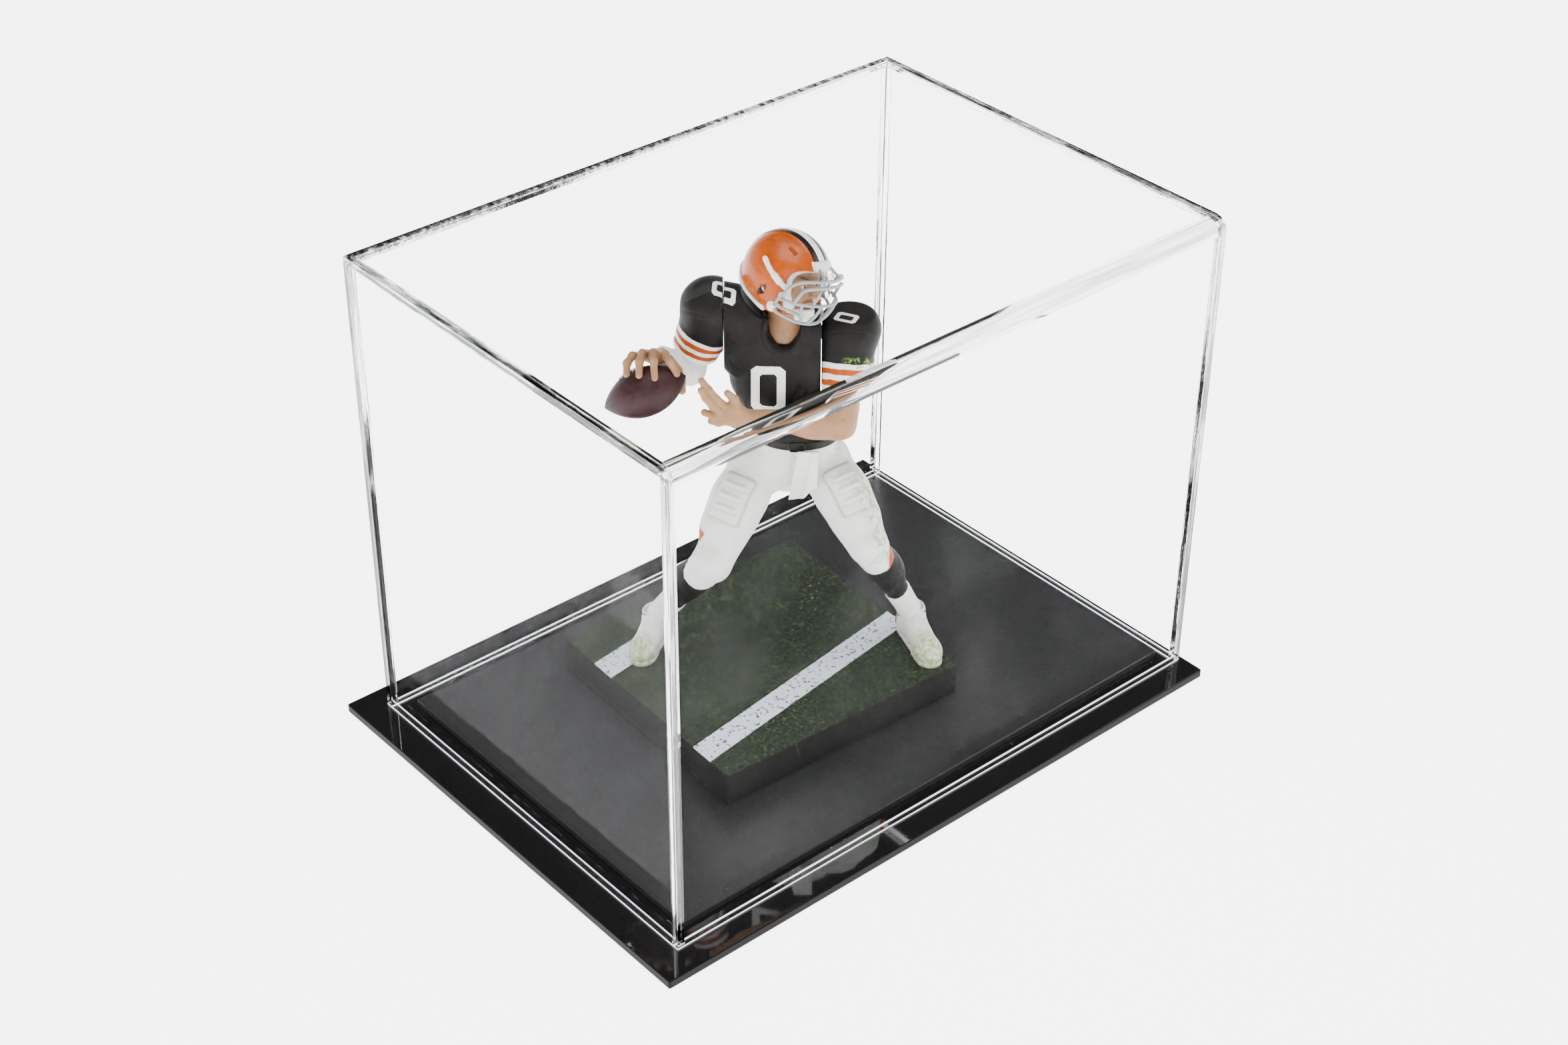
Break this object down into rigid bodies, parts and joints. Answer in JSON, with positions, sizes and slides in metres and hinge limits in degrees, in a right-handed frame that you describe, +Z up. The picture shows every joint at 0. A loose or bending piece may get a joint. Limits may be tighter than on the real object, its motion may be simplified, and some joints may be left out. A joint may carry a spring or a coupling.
{
  "type": "display case",
  "caption": "Clear lift-off acrylic cover on a glossy black base plate and riser, with a painted football player figure on a printed turf block inside",
  "frame": {"origin": "middle of the underside of the base plate", "axes": "+X along the long side of the case, towards its right end seen from the front; +Y across it, from the bent front sheet to the back panel; +Z up"},
  "size_m": [0.248, 0.184, 0.1845],
  "materials": {
    "clear_acrylic": "polished clear cast acrylic sheet",
    "gloss_black_acrylic": "mirror-gloss black acrylic",
    "satin_black_acrylic": "satin black acrylic with a fine grain",
    "block_black": "moulded black plastic",
    "turf_print": "printed turf, dark green mottled with yellow-green, with two white yard lines",
    "peg_black": "moulded black plastic",
    "jersey_dark": "matte near-black brown paint",
    "sleeve_paint": "matte near-black brown paint with orange and white bands",
    "pants_white": "matte white paint with scuffs",
    "belt_black": "matte black paint",
    "towel_white": "matte white paint",
    "sock_dark": "matte near-black brown paint",
    "shoe_white": "matte white paint with green scuffs",
    "undersleeve_white": "matte white paint",
    "skin": "matte flesh-coloured paint",
    "helmet_orange": "glossy orange with dark and white centre stripes",
    "mask_grey": "grey paint",
    "visor_clear": "clear plastic",
    "strap_white": "white paint",
    "ball_brown": "dark maroon brown paint with a fine grain",
    "lace_white": "white paint",
    "pin_grey": "moulded plastic"
  },
  "bodies": {
    "base": {"base_plate": "gloss_black_acrylic", "riser_platform": "satin_black_acrylic"},
    "cover": {"front_top_bent_sheet": "clear_acrylic", "back_panel": "clear_acrylic", "left_end_panel": "clear_acrylic", "right_end_panel": "clear_acrylic"},
    "display": {"turf_block": "block_black", "turf_printed_sheet": "turf_print", "foot_pegs": "peg_black", "right_shoe": "shoe_white", "left_shoe": "shoe_white", "right_lower_leg": "sock_dark", "left_lower_leg": "sock_dark", "right_pant_leg": "pants_white", "left_pant_leg": "pants_white", "hips": "pants_white", "belt": "belt_black", "towel": "towel_white", "jersey": "jersey_dark"},
    "head": {"head": "skin", "neck_pin": "pin_grey", "helmet_shell": "helmet_orange", "face_mask": "mask_grey", "visor": "visor_clear", "chin_strap": "strap_white"},
    "right_arm": {"right_shoulder_pin": "pin_grey", "right_sleeve": "sleeve_paint", "right_upper_arm": "undersleeve_white", "right_forearm": "undersleeve_white", "right_hand": "skin", "football": "ball_brown", "ball_laces": "lace_white"},
    "left_arm": {"left_shoulder_pin": "pin_grey", "left_sleeve": "sleeve_paint", "left_upper_arm": "skin", "left_forearm": "skin", "left_hand": "skin"}
  },
  "joints": [
    {"name": "cover_lift", "type": "slide", "parent": "base", "child": "cover", "axis": [0, 0, 1], "range_m": [0, 0.195]},
    {"name": "display_lift", "type": "slide", "parent": "base", "child": "display", "axis": [0, 0, 1], "range_m": [0, 0.003]},
    {"name": "head_turn", "type": "hinge", "parent": "display", "child": "head", "pos_m": [0.01267, 0.01171, 0.1408], "axis": [0, 0, 1], "range_deg": [-45, 0]},
    {"name": "right_arm_turn", "type": "hinge", "parent": "display", "child": "right_arm", "pos_m": [-0.0049, 0.02825, 0.1489], "axis": [-0.7559, 0.6547, 0], "range_deg": [-12, 25]},
    {"name": "left_arm_turn", "type": "hinge", "parent": "display", "child": "left_arm", "pos_m": [0.02874, -0.00089, 0.1402], "axis": [-0.7559, 0.6547, 0], "range_deg": [0, 25]}
  ]
}
